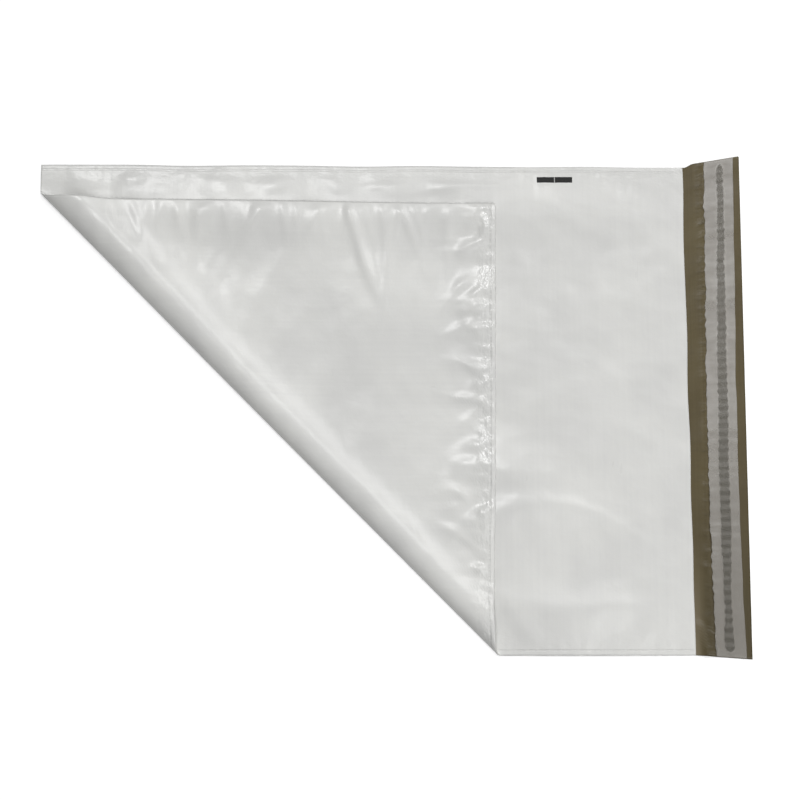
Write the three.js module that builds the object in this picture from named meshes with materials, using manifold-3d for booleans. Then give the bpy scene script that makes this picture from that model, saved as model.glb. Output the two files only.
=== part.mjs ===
// Poly mailer bag: a flat mailing bag of co-extruded film, closed at one end, welded along both
// sides, with a self-seal flap at the mouth, lying down with one corner turned over.
// Millimetres, +Z up. +X runs from the closed end to the flap, +Y runs across the bag.
// The origin is at the middle of the bag's outline, on the surface that it lies on.

import * as THREE from "three";
import { mergeVertices } from "three/addons/utils/BufferGeometryUtils.js";
import Module from "manifold-3d";

const wasm = await Module();
wasm.setup();

// Flat bag
const bagWidth = 368; // from side edge to side edge
const bagLength = 483; // from the closed end to the lip of the front panel
const flapLength = 41; // the back panel runs on past the lip by this much
const flareAbove = 7; // the flap has no weld to draw it in, so its +Y end stands out by this much
const flareBelow = 3; // and its -Y end by this much
const filmThickness = 0.2;
const pocketGap = 0.2; // air between the front and the back panel
const weldInset = 3; // trimmed film outside each side weld
const weldWidth = 1.5;
const weldDepth = 0.1; // the welding bar leaves a pressed line in the front panel

// Self-seal strip on the flap
const adhesiveWidth = 6.5;
const adhesiveHeight = 0.4;
const adhesiveShoulder = 0.8; // rounded long edges of the adhesive line
const adhesiveEndGap = 4; // the adhesive stops this far from the flap's ends
const linerWidth = 22;
const linerThickness = 0.15;
const linerMargin = 5.5; // bare film between the liner and the flap's outer edge
const linerShoulder = 1.5; // the liner comes down to the film over this width beside the adhesive

// Turned corner
const cornerShiftX = 341; // how far along the bag the corner has been carried
const cornerShiftY = 337; // how far across the bag
const rollLength = 26; // length of film that makes the rolled bend
const crimpLength = 6; // first part of the roll, near the ground, where it bends most sharply
const steadyTurn = THREE.MathUtils.degToRad(100); // part of the turn that is even over the roll
const settleAngle = THREE.MathUtils.degToRad(28); // how steeply the turned film comes down again
const restGap = 0.3; // air under the turned film where it lies on the front panel

// Fineness
const facetTurn = THREE.MathUtils.degToRad(6); // turn from one flat strip of the bend to the next
const walkSteps = 1000; // steps along each bend when it is laid out
const arcSteps = 3; // flat steps in a quarter of each small round edge
const rounding = 1e-3; // points nearer than this count as the same

// Sizes that follow
const bagThickness = 2 * filmThickness + pocketGap;
const pocketHalfWidth = bagWidth / 2 - weldInset - weldWidth;
const linerMiddle = bagLength + flapLength - linerMargin - linerWidth / 2;
const adhesiveTop = filmThickness + adhesiveHeight;

// Y of the flap's two ends at an X place: level with the side edges at the lip, then slanting out.
function flapEnds(x) {
  const shareOfFlap = (x - bagLength) / flapLength;
  return {
    above: bagWidth / 2 + flareAbove * shareOfFlap,
    below: -bagWidth / 2 - flareBelow * shareOfFlap,
  };
}

// Joins and cuts

function toSolid(geometry) {
  geometry.deleteAttribute("normal");
  geometry.deleteAttribute("uv");
  const merged = mergeVertices(geometry, rounding);
  return new wasm.Manifold(
    new wasm.Mesh({
      numProp: 3,
      vertProperties: new Float32Array(merged.attributes.position.array),
      triVerts: new Uint32Array(merged.index.array),
    }),
  );
}

// The points and triangles of a solid, as lists that can be split and bent.
function toSheet(solid) {
  const mesh = solid.getMesh();
  const points = [];
  const triangles = [];
  for (let i = 0; i < mesh.numVert; i++) {
    points.push(new THREE.Vector3().fromArray(mesh.vertProperties, i * mesh.numProp));
  }
  for (let i = 0; i < mesh.triVerts.length; i += 3) {
    triangles.push([...mesh.triVerts.subarray(i, i + 3)]);
  }
  return { points, triangles };
}

// An outline drawn in X and Z, carried across the bag between two Y places.
function acrossBag(outline, fromY, toY) {
  const depth = toY - fromY;
  const geometry = new THREE.ExtrudeGeometry(outline, {
    depth,
    bevelEnabled: false,
    curveSegments: arcSteps,
  });
  return geometry.rotateX(Math.PI / 2).translate(0, toY, 0);
}

// A flat outline drawn in X and Y, raised to a thickness.
function raised(outline, thickness) {
  return new THREE.ExtrudeGeometry(outline, { depth: thickness, bevelEnabled: false });
}

// Film, while it lies flat

// Side view of a folded end: round at x = start, open at x = end, between two heights.
function foldedEndOutline(start, end, low, high) {
  const radius = (high - low) / 2;
  const outline = new THREE.Shape();
  outline.moveTo(end, low);
  outline.lineTo(end, high);
  outline.lineTo(start + radius, high);
  outline.absarc(start + radius, low + radius, radius, Math.PI / 2, (3 * Math.PI) / 2, false);
  outline.closePath();
  return outline;
}

// Seen from above, the back panel near the mouth with the flap on it.
function flapOutline() {
  const overlap = flapLength / 2;
  const flapEdge = bagLength + flapLength;
  const outline = new THREE.Shape();
  outline.moveTo(bagLength - overlap, -bagWidth / 2);
  outline.lineTo(bagLength, -bagWidth / 2);
  outline.lineTo(flapEdge, flapEnds(flapEdge).below);
  outline.lineTo(flapEdge, flapEnds(flapEdge).above);
  outline.lineTo(bagLength, bagWidth / 2);
  outline.lineTo(bagLength - overlap, bagWidth / 2);
  outline.closePath();
  return outline;
}

// The pressed line of one side weld, as the bar that presses it.
function weldBar(side) {
  const bar = new THREE.BoxGeometry(bagLength + 2 * weldInset, weldWidth, 2 * weldDepth);
  const y = side * (bagWidth / 2 - weldInset - weldWidth / 2);
  return toSolid(bar.translate(bagLength / 2, y, bagThickness));
}

function flatFilm() {
  const panels = acrossBag(
    foldedEndOutline(0, bagLength, 0, bagThickness),
    -bagWidth / 2,
    bagWidth / 2,
  );
  const pocket = acrossBag(
    foldedEndOutline(
      filmThickness,
      bagLength + flapLength,
      filmThickness,
      filmThickness + pocketGap,
    ),
    -pocketHalfWidth,
    pocketHalfWidth,
  );
  return toSolid(panels)
    .add(toSolid(raised(flapOutline(), filmThickness)))
    .subtract(toSolid(pocket))
    .subtract(weldBar(1))
    .subtract(weldBar(-1));
}

// True for a face of the film's inner side, which is the pocket's walls and the flap's upper face.
// It is judged by the face's middle while the bag lies flat.
function isInnerSide({ x, y, z }) {
  const betweenPanels =
    z > filmThickness - rounding && z < filmThickness + pocketGap + rounding;
  const inPocket =
    Math.abs(y) < pocketHalfWidth + rounding &&
    x > filmThickness - rounding &&
    x < bagLength - rounding;
  return betweenPanels && (inPocket || x > bagLength + rounding);
}

// Bend of the turned corner, in side view

// Share of a turn that is made after a share of its length. It starts and ends without bending.
function easedTurn(share) {
  return share - Math.sin(2 * Math.PI * share) / (2 * Math.PI);
}

// Heading in the roll, from flat to more than half a turn: a sharp crimp and a steady arc together.
function rollHeading(share) {
  const crimped = Math.min((share * rollLength) / crimpLength, 1);
  return (Math.PI + settleAngle - steadyTurn) * easedTurn(crimped) + steadyTurn * share;
}

// Heading where the turned film settles: it bends back soon and runs out slowly until it is level.
function settleHeading(share) {
  return Math.PI + settleAngle * (1 - easedTurn(Math.sqrt(share)));
}

// Walks along a bend of a given length, and notes a station at each facet.
function layOut(length, headingAt) {
  const step = length / walkSteps;
  const stations = [];
  let [x, z, lastHeading] = [0, 0, headingAt(0)];
  for (let i = 1; i <= walkSteps; i++) {
    const middle = headingAt((i - 0.5) / walkSteps);
    x += step * Math.cos(middle);
    z += step * Math.sin(middle);
    const heading = headingAt(i / walkSteps);
    if (Math.abs(heading - lastHeading) >= facetTurn || i === walkSteps) {
      stations.push({ run: i * step, x, z, heading });
      lastHeading = heading;
    }
  }
  return stations;
}

// Stations of the whole bend, for the bag's underside: run is the length of film from where it
// lifts off, x is measured towards the corner. The film rolls over by more than half a turn, and
// coming down it turns level again at the height where it lies on the front panel.
function bendStations() {
  const roll = layOut(rollLength, rollHeading);
  const rollEnd = roll[roll.length - 1];
  const wayDown = rollEnd.z - 2 * bagThickness - restGap;
  const dropOfUnit = -layOut(1, settleHeading).pop().z;
  const settleLength = wayDown / dropOfUnit;
  const settled = layOut(settleLength, settleHeading).map((station) => ({
    run: rollEnd.run + station.run,
    x: rollEnd.x + station.x,
    z: rollEnd.z + station.z,
    heading: station.heading,
  }));
  return [{ run: 0, x: 0, z: 0, heading: 0 }, ...roll, ...settled];
}

// Where the bend carries a point of the flat bag: height is its height over the underside.
function carried(stations, run, height) {
  const last = stations[stations.length - 1];
  if (run >= last.run) {
    return { x: last.x - (run - last.run), z: last.z - height };
  }
  const next = stations.findIndex((station) => station.run > run);
  const ends = [stations[next - 1], stations[next]].map((station) => ({
    x: station.x - height * Math.sin(station.heading),
    z: station.z + height * Math.cos(station.heading),
  }));
  const share = (run - stations[next - 1].run) / (stations[next].run - stations[next - 1].run);
  return {
    x: THREE.MathUtils.lerp(ends[0].x, ends[1].x, share),
    z: THREE.MathUtils.lerp(ends[0].z, ends[1].z, share),
  };
}

// Splits the sheet's triangles into strips between neighbouring stations. Each triangle's rim gets
// a point wherever it crosses a station, and what lies between two stations becomes a small fan.
function splitIntoStrips(sheet, runOf, stations) {
  const cuts = stations.map((station) => station.run);
  const runs = sheet.points.map((point) => {
    const run = runOf(point);
    return cuts.find((cut) => Math.abs(cut - run) < rounding) ?? run;
  });
  const known = new Map();
  const crossings = (a, b) => {
    const crossed = cuts.filter((cut) => (cut - runs[a]) * (cut - runs[b]) < 0);
    const found = crossed.map((cut) => {
      const key = `${Math.min(a, b)}-${Math.max(a, b)}-${cut}`;
      if (!known.has(key)) {
        const share = (cut - runs[a]) / (runs[b] - runs[a]);
        known.set(key, sheet.points.length);
        sheet.points.push(sheet.points[a].clone().lerp(sheet.points[b], share));
        runs.push(cut);
      }
      return known.get(key);
    });
    return runs[a] < runs[b] ? found : found.reverse();
  };
  const limits = [-Infinity, ...cuts, Infinity];
  sheet.triangles = sheet.triangles.flatMap(([a, b, c]) => {
    const rim = [a, ...crossings(a, b), b, ...crossings(b, c), c, ...crossings(c, a)];
    const strips = limits.slice(1).map((high, k) =>
      rim.filter((i) => runs[i] >= limits[k] && runs[i] <= high),
    );
    return strips.flatMap((strip) => strip.slice(2).map((end, k) => [strip[0], strip[k + 1], end]));
  });
  return runs;
}

// Turns the corner over: the sheet is split along lines parallel to the fold and bent round them.
function turnCorner(sheet) {
  const stations = bendStations();
  const last = stations[stations.length - 1];
  const corner = new THREE.Vector2(0, -bagWidth / 2);
  const shift = new THREE.Vector2(cornerShiftX, cornerShiftY);
  const inward = shift.clone().normalize();
  const along = new THREE.Vector2(-inward.y, inward.x);
  // Past the bend, film that lay a length m from the lift-off line lies at last.x + last.run - m,
  // so this is how far from the corner the film lifts off.
  const liftOff = shift.length() / 2 + (last.x + last.run) / 2;
  const fromCorner = (point) => new THREE.Vector2(point.x, point.y).sub(corner);
  const runs = splitIntoStrips(sheet, (p) => liftOff - fromCorner(p).dot(inward), stations);
  return sheet.points.map((point, i) => {
    if (runs[i] <= 0) {
      return point.clone();
    }
    const moved = carried(stations, runs[i], point.z);
    const place = corner
      .clone()
      .addScaledVector(inward, liftOff - moved.x)
      .addScaledVector(along, fromCorner(point).dot(along));
    return new THREE.Vector3(place.x, place.y, moved.z);
  });
}

// Pieces

function film() {
  const sheet = toSheet(flatFilm());
  const bent = turnCorner(sheet);
  const outside = new THREE.Color(0.86, 0.87, 0.86);
  const inside = new THREE.Color(0.14, 0.115, 0.06);
  const positions = [];
  const colours = [];
  for (const triangle of sheet.triangles) {
    const middle = new THREE.Vector3();
    triangle.forEach((i) => middle.addScaledVector(sheet.points[i], 1 / 3));
    const colour = isInnerSide(middle) ? inside : outside;
    triangle.forEach((i) => {
      positions.push(...bent[i].toArray());
      colours.push(...colour.toArray());
    });
  }
  const geometry = new THREE.BufferGeometry();
  geometry.setAttribute("position", new THREE.Float32BufferAttribute(positions, 3));
  geometry.setAttribute("color", new THREE.Float32BufferAttribute(colours, 3));
  geometry.computeVertexNormals();
  const material = new THREE.MeshStandardMaterial({ vertexColors: true, roughness: 0.38 });
  return new THREE.Mesh(geometry, material);
}

// A line of hot-melt adhesive: flat on top, with rounded long edges.
function adhesive() {
  const half = adhesiveWidth / 2;
  const outline = new THREE.Shape();
  outline.moveTo(linerMiddle - half, filmThickness);
  outline.lineTo(linerMiddle + half, filmThickness);
  outline.quadraticCurveTo(
    linerMiddle + half,
    adhesiveTop,
    linerMiddle + half - adhesiveShoulder,
    adhesiveTop,
  );
  outline.lineTo(linerMiddle - half + adhesiveShoulder, adhesiveTop);
  outline.quadraticCurveTo(
    linerMiddle - half,
    adhesiveTop,
    linerMiddle - half,
    filmThickness,
  );
  const { above, below } = flapEnds(linerMiddle);
  const line = acrossBag(outline, below + adhesiveEndGap, above - adhesiveEndGap);
  const material = new THREE.MeshStandardMaterial({ color: 0x8c8780, roughness: 0.5 });
  return new THREE.Mesh(line, material);
}

// The release liner lies on the film and is lifted over the adhesive. It is cut with the flap, so
// its ends have the flap's slant.
function liner() {
  const half = linerWidth / 2;
  const liftEnd = adhesiveWidth / 2;
  const liftStart = liftEnd + linerShoulder;
  const under = [
    [-half, filmThickness],
    [-liftStart, filmThickness],
    [-liftEnd, adhesiveTop],
    [liftEnd, adhesiveTop],
    [liftStart, filmThickness],
    [half, filmThickness],
  ];
  const over = under.map(([x, z]) => [x, z + linerThickness]).reverse();
  const outline = new THREE.Shape(
    [...under, ...over].map(([x, z]) => new THREE.Vector2(linerMiddle + x, z)),
  );
  const geometry = acrossBag(outline, -bagWidth / 2, bagWidth / 2);
  const places = geometry.attributes.position;
  for (let i = 0; i < places.count; i++) {
    const { above, below } = flapEnds(places.getX(i));
    places.setY(i, places.getY(i) > 0 ? above : below);
  }
  geometry.computeVertexNormals();
  const material = new THREE.MeshStandardMaterial({
    color: 0xc9c7c0,
    roughness: 0.3,
    transparent: true,
    opacity: 0.6,
  });
  return new THREE.Mesh(geometry, material);
}

// Assembly

const pieces = { bag_film: film(), adhesive_strip: adhesive(), release_liner: liner() };
const bag = new THREE.Group();
for (const [name, mesh] of Object.entries(pieces)) {
  mesh.name = name;
  bag.add(mesh);
}
bag.position.set(-(bagLength + flapLength) / 2, (flareBelow - flareAbove) / 2, 0);

const root = new THREE.Group();
root.add(bag);

export default root;
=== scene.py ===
import math

import bpy
import numpy as np
from mathutils import Matrix


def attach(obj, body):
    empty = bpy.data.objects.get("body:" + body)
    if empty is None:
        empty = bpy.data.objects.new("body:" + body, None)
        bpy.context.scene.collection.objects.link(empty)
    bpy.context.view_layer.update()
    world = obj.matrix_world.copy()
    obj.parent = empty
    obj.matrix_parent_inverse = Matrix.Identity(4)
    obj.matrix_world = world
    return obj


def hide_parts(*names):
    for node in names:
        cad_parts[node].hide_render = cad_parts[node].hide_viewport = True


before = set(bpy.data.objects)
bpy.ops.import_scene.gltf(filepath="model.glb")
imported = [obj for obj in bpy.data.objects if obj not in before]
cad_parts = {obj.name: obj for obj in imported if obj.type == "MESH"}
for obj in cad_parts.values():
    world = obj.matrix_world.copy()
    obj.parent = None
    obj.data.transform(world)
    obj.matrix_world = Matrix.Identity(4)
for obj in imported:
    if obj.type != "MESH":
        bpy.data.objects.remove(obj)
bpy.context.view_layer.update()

# Sizes are metres. Bag places are x from the closed end towards the flap, v from the lower side
# edge across the bag, and z up from the underside. The frame's origin is at the middle of the bag.
bag = {
    "width": 0.368,  # side edge to side edge
    "length": 0.483,  # closed end to the lip of the front panel
    "flap": 0.041,  # the back panel runs on past the lip
    "flareAbove": 0.007,  # the flap's ends stand out past the side edges by this much
    "flareBelow": 0.003,
    "drawnIn": 0.0030,  # the upper weld draws the bag in towards its mouth
    "drawnFrom": 0.35,  # share of the length where the width is as it was cut
    "drawnEnd": 0.006,  # past the lip the film is free of the weld within this length
    "film": 0.0002,  # thickness
    "gap": 0.0002,  # air between the panels where they touch
}
fold = {
    "shift": (0.341, 0.337),  # how far the lower closed corner has been carried
    "roll": 0.0262,  # length of film in the rolled bend
    "crimp": 0.006,  # its first part, where it bends most sharply
    "steady": 106.0,  # degrees that it turns evenly over its whole length
    "settle": 28.0,  # degrees, slope of the film as it comes down again
    "settleEase": 0.5,  # below 1 it levels out sooner on its way down
    "steps": 1500,  # along each of the bend's two curves
    "wideEnd": 1.18,  # the bend is larger at the fold's upper end
    "narrowEnd": 0.86,
    "restGap": 0.0003,  # air under the turned film
    "wander": 0.0008,  # the fold's line isn't quite straight
    "wanderLength": 0.047,
    "cover": (-0.030, -0.003),  # from here outside its edges to here it presses the front panel down
}
shiftLength = math.hypot(*fold["shift"])
inward = (fold["shift"][0] / shiftLength, fold["shift"][1] / shiftLength)
mouthX = bag["length"]
flapEndX = bag["length"] + bag["flap"]


# Shapes that several pieces share

def softStep(value, low, high):
    # 0 up to low, 1 from high on, and 3t^2 - 2t^3 between them
    t = np.clip((value - low) / (high - low), 0, 1)
    return t * t * (3 - 2 * t)


def crest(q):
    # 1 / cosh(q)^2, a ridge of height 1 with smooth flanks
    return 1 / np.cosh(np.clip(q, -20, 20)) ** 2


def ripples(x, v, seed, count, lengths, heading=0.0, spread=math.pi):
    # sum of sines of seeded direction, length and phase, scaled to lie mostly within -1 to 1
    chance = np.random.default_rng(seed)
    total = np.zeros_like(x + v)
    for _ in range(count):
        angle = heading + spread * chance.uniform(-1, 1)
        waveLength = chance.uniform(*lengths)
        place = (x * math.cos(angle) + v * math.sin(angle)) / waveLength
        total += np.sin(2 * math.pi * (place + chance.uniform(0, 1)))
    return total / (1.2 * math.sqrt(count))


def wavesAlong(place, seed, count, lengths):
    # ripples that change in one direction only
    return ripples(0 * place, place, seed, count, lengths, math.pi / 2, 0)


pucker = {
    "lean": (-0.35, 0.35),
    "width": (0.0022, 0.0048),
    "reach": (0.5, 1.4),  # shares of the reach, height and spacing that are asked for
    "height": (0.2, 1),
    "every": (0.5, 1.5),
}


def puckers(alongEdge, fromEdge, seed, start, end, every, reach, height):
    # sum of short ridges square to an edge: h exp(-((a - a0 - lean e) / w)^2) (e / r) exp(1 - e / r)
    chance = np.random.default_rng(seed)
    total = np.zeros_like(alongEdge)
    place = start
    while place < end:
        lean = chance.uniform(*pucker["lean"])
        width = chance.uniform(*pucker["width"])
        rise = fromEdge / (reach * chance.uniform(*pucker["reach"]))
        ridge = np.exp(-((alongEdge - place - lean * fromEdge) / width) ** 2)
        total += height * chance.uniform(*pucker["height"]) * ridge * rise * np.exp(1 - rise)
        place += every * chance.uniform(*pucker["every"])
    return total


def creases(x, v, seed, count, area, lengths, widths, heights, heading, spread):
    # sum of soft bent ridges: h exp(-(p / l)^2) / cosh(q / w)^2, with p along the crease and q
    # across it, and q shifted by b p^2 for its bow
    chance = np.random.default_rng(seed)
    total = np.zeros_like(x + v)
    for _ in range(count):
        atX, atV = chance.uniform(area[0], area[1]), chance.uniform(area[2], area[3])
        angle = heading + spread * chance.uniform(-1, 1)
        length, width = chance.uniform(*lengths), chance.uniform(*widths)
        bow = chance.uniform(-2, 2)
        p = (x - atX) * math.cos(angle) + (v - atV) * math.sin(angle)
        q = (v - atV) * math.cos(angle) - (x - atX) * math.sin(angle) + bow * p * p
        total += chance.uniform(*heights) * np.exp(-(p / length) ** 2) * crest(q / width)
    return total


def flared(x, v):
    # v where the film really lies: the flap widens towards its end by its two flares, and the upper
    # edge comes in by drawnIn (x / mouth - drawnFrom), which ends just past the lip
    share = np.clip((x - mouthX) / bag["flap"], 0, 1)
    upper = v / bag["width"]
    drawn = bag["drawnIn"] * (np.clip(x / mouthX, 0, 1) - bag["drawnFrom"])
    drawn = drawn * (1 - softStep(x, mouthX, mouthX + bag["drawnEnd"]))
    return v + share * (bag["flareAbove"] * upper - bag["flareBelow"] * (1 - upper)) - drawn * upper


def toFrame(x, v, z):
    # bag places as the frame's x, y and z
    middle = (bag["width"] + bag["flareAbove"] - bag["flareBelow"]) / 2
    return np.stack([x - flapEndX / 2, v - middle, z], -1)


# The bend of the turned corner

def easedTurn(share):
    # share - sin(2 pi share) / 2 pi, which starts and ends without bending
    return share - np.sin(2 * math.pi * share) / (2 * math.pi)


def walk(length, heading):
    # run, x, z and heading, x and z being the running sums of the heading's cosine and sine
    step = length / (len(heading) - 1)
    middle = (heading[1:] + heading[:-1]) / 2
    x = np.concatenate([[0], np.cumsum(np.cos(middle) * step)])
    z = np.concatenate([[0], np.cumsum(np.sin(middle) * step)])
    return np.stack([np.linspace(0, length, len(heading)), x, z, heading])


def bendCurve():
    # run, x, z and heading of the underside: flat, crimped and rolled over, settled level, flat.
    # Crimp and settling have headings made of easedTurn, and the roll also turns evenly by "steady".
    share = np.linspace(0, 1, fold["steps"] + 1)
    downward, steady = math.pi + math.radians(fold["settle"]), math.radians(fold["steady"])
    crimped = np.clip(share * fold["roll"] / fold["crimp"], 0, 1)
    roll = walk(fold["roll"], (downward - steady) * easedTurn(crimped) + steady * share)
    levelling = downward + (math.pi - downward) * easedTurn(share ** fold["settleEase"])
    wayDown = roll[2, -1] - 2 * (2 * bag["film"] + bag["gap"]) - fold["restGap"]
    settled = walk(-wayDown / walk(1, levelling)[2, -1], levelling)
    settled[:3] += roll[:3, -1:]
    before = np.array([[-1], [-1], [0], [0]])  # a metre of flat film at either end
    after = settled[:, -1:] + np.array([[1], [-1], [0], [0]])
    return np.concatenate([before, roll, settled, after], 1)


bend = bendCurve()


def foldPlaces(x, v):
    # distance of a bag place from the corner, square to the fold, and its place along the fold
    return x * inward[0] + v * inward[1], v * inward[0] - x * inward[1]


def bendScale(s):
    # size of the bend, which is part of a cone: 1 at mid fold
    span = shiftLength / 2
    return 1 + np.interp(s / span, [-1, 0, 1], [fold["narrowEnd"] - 1, 0, fold["wideEnd"] - 1])


def liftOff(s):
    # how far from the corner the film leaves the ground, so that the bend's end lies as it must
    return shiftLength / 2 + bendScale(s) * (bend[0, -2] + bend[1, -2]) / 2


def turnCorner(x, v, z):
    # film past the lift-off line follows the bend, at its own height over the underside: out is the
    # bend's x less z sin(heading), and up is the bend's z plus z cos(heading)
    d, s = foldPlaces(x, v)
    scale, start = bendScale(s), liftOff(s)
    wander = fold["wander"] * np.sin(s / fold["wanderLength"] + 1) * softStep(start - d, 0, 0.02)
    run, curveX, curveZ, heading = bend
    here = (start - d) / scale
    angle = np.interp(here, run, heading)
    out = scale * np.interp(here, run, curveX) - z * np.sin(angle) + wander
    landing = (1 - scale) * curveZ[-1] * softStep(here, 0, run[-2])
    up = scale * np.interp(here, run, curveZ) + landing + z * np.cos(angle)
    reach = start - out
    return reach * inward[0] - s * inward[1], reach * inward[1] + s * inward[0], up


def fromLiftOff(x, v):
    # length of film from the lift-off line, more than 0 on the turned side
    d, s = foldPlaces(x, v)
    return liftOff(s) - d


def isTurned(x, v, begin=0.016, end=0.030):
    # 0 on the flat part, 1 where the film has come over the top of the roll
    return softStep(fromLiftOff(x, v), begin, end)


def isCovered(x, v):
    # 1 where the turned corner lies on the front panel, from the place's mirror image in the fold
    d, s = foldPlaces(x, v)
    mirrorX = (shiftLength - d) * inward[0] - s * inward[1]
    mirrorV = (shiftLength - d) * inward[1] + s * inward[0]
    return softStep(np.minimum(mirrorX, mirrorV), *fold["cover"])


# How the two panels lie. Where an entry is a dictionary, it holds what ripples, puckers or creases
# are given: an area is from x, to x, from v, to v.

creaseHeights = (0.0001, 0.0004)
turnedCreaseHeights = (0.0003, 0.0014)
lie = {
    "pillow": 0.0026,  # the air in the bag lifts the front panel by this much
    "pillowWaves": {"seed": 7, "count": 9, "lengths": (0.075, 0.17)},
    "sideSlope": (0.060, 0.150),  # width of its slopes at the sides, left and right of the turned edge
    "turnedEdge": (0.345, 0.385),  # x where the one gives way to the other
    "endSlope": 0.060,  # the same at the closed end
    "mouthSlope": (-0.06, 0.12),  # and at the mouth, which isn't held down
    "hills": [
        # x, v, half lengths along x and v, lean and height of single humps
        (0.195, 0.330, 0.235, 0.018, 0.0, 0.0032),
        (0.030, 0.353, 0.016, 0.014, 0.25, 0.0026),
        (0.066, 0.352, 0.011, 0.012, -0.2, 0.0020),
        (0.094, 0.350, 0.014, 0.012, -0.3, 0.0014),
        (0.132, 0.351, 0.016, 0.010, 0.4, 0.0019),
        (0.178, 0.352, 0.017, 0.009, -0.3, 0.0019),
        (0.222, 0.352, 0.013, 0.009, 0.5, 0.0016),
        (0.262, 0.351, 0.018, 0.009, -0.4, 0.0015),
        (0.308, 0.351, 0.016, 0.009, 0.3, 0.0013),
        (0.362, 0.346, 0.030, 0.012, 0.3, 0.0014),
        (0.340, 0.118, 0.046, 0.036, 0.0, 0.0030),
        (0.340, 0.030, 0.062, 0.060, 0.0, 0.0012),
        (0.455, 0.040, 0.022, 0.045, 0.3, 0.0010),
    ],
    "arcs": [
        # crest's x and v, its slant and bow, length, widths above and below it, and height
        (0.362, 0.1115, -0.10, 5.0, 0.058, 0.0055, 0.013, 0.0031),
        (0.348, 0.1340, 0.15, 0.0, 0.030, 0.0170, 0.008, 0.0023),
        (0.398, 0.0340, 0.00, 0.0, 0.050, 0.0115, 0.020, 0.0040),
    ],
    "rightCreases": {
        "seed": 13, "count": 9, "area": (0.35, 0.478, 0.01, 0.33), "lengths": (0.02, 0.06),
        "widths": (0.004, 0.009), "heights": creaseHeights, "heading": 0.1, "spread": 0.9,
    },
    "topCreases": {
        "seed": 14, "count": 10, "area": (0.02, 0.36, 0.345, 0.360), "lengths": (0.015, 0.05),
        "widths": (0.002, 0.004), "heights": creaseHeights, "heading": 0, "spread": 0.2,
    },
    # place along the fold, and how far from the lift-off line the front panel is free to rise
    "clear": [(-0.235, 0.026), (-0.150, 0.060)],
    "fine": 0.0002,
    "fineWaves": {"seed": 11, "count": 10, "lengths": (0.020, 0.050)},
    "topPuckers": {
        "seed": 21, "start": 0.012, "end": mouthX, "every": 0.0085, "reach": 0.007, "height": 0.0005,
    },
    "lowPuckers": {
        "seed": 22, "start": 0.35, "end": mouthX, "every": 0.0085, "reach": 0.007, "height": 0.0005,
    },
    "turned": 0.0005,
    "turnedWaves": {"seed": 31, "count": 9, "lengths": (0.08, 0.18)},
    "sidePuckers": {
        "seed": 33, "start": 0.004, "end": 0.345, "every": 0.0075, "reach": 0.007, "height": 0.0016,
    },
    "endPuckers": {
        "seed": 34, "start": 0.004, "end": 0.345, "every": 0.011, "reach": 0.009, "height": 0.00096,
    },
    "sideCreases": {
        "seed": 35, "count": 60, "area": (0.02, 0.33, 0.006, 0.034), "lengths": (0.005, 0.016),
        "widths": (0.0025, 0.0050), "heights": turnedCreaseHeights, "heading": 1.4, "spread": 0.9,
    },
    "endCreases": {
        "seed": 36, "count": 14, "area": (0.01, 0.05, 0.03, 0.3), "lengths": (0.015, 0.05),
        "widths": (0.003, 0.007), "heights": turnedCreaseHeights, "heading": 0.1, "spread": 0.6,
    },
    "loft": 0.0006,  # the turned corner doesn't lie down everywhere
    "loftWaves": {"seed": 51, "count": 6, "lengths": (0.05, 0.12)},
    "flap": 0.0003,
    "flapWaves": {
        "seed": 41, "count": 7, "lengths": (0.016, 0.050), "heading": math.pi / 2, "spread": 0.5,
    },
    "linerPucker": (0.00038, 0.00060),  # over the whole flap, and what its lower end has more
    "linerPuckers": {
        "seed": 42, "start": 0.004, "end": bag["width"], "every": 0.0060, "reach": 0.0018, "height": 1,
    },
    "lowerEnd": (0.06, 0.20),  # v over which that more fades out
    "flapCreases": [
        # from x, v to x, v, half width and height
        (0.4858, 0.026, 0.4915, 0.000, 0.0022, 0.0020),
        (0.4935, 0.021, 0.4995, 0.006, 0.0015, 0.0010),
    ],
}


def flapLift(x, v):
    # waves, small puckers along the liner's inner edge, and h / cosh(q / w)^2 for each crease
    wave = 0.5 + 0.5 * ripples(x, v, **lie["flapWaves"])
    lift = lie["flap"] * np.clip(wave, 0, 1.2)
    beside = np.maximum(linerMiddle(v) - liner["width"] / 2 + linerWave(v) - x, 0)
    everywhere, below = lie["linerPucker"]
    tall = everywhere + below * (1 - softStep(v, *lie["lowerEnd"]))
    lift = lift + tall * puckers(v, beside, **lie["linerPuckers"])
    for fromX, fromV, toX, toV, width, height in lie["flapCreases"]:
        length = math.hypot(toX - fromX, toV - fromV)
        alongX, alongV = (toX - fromX) / length, (toV - fromV) / length
        p = (x - fromX) * alongX + (v - fromV) * alongV
        q = (v - fromV) * alongX - (x - fromX) * alongV
        reach = softStep(p, -0.002, 0.005) * softStep(length - p, -0.004, 0.003)
        lift = lift + height * reach * crest(q / width)
    return np.maximum(lift, 0) * softStep(x, mouthX - 0.02, mouthX + 0.004)


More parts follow.
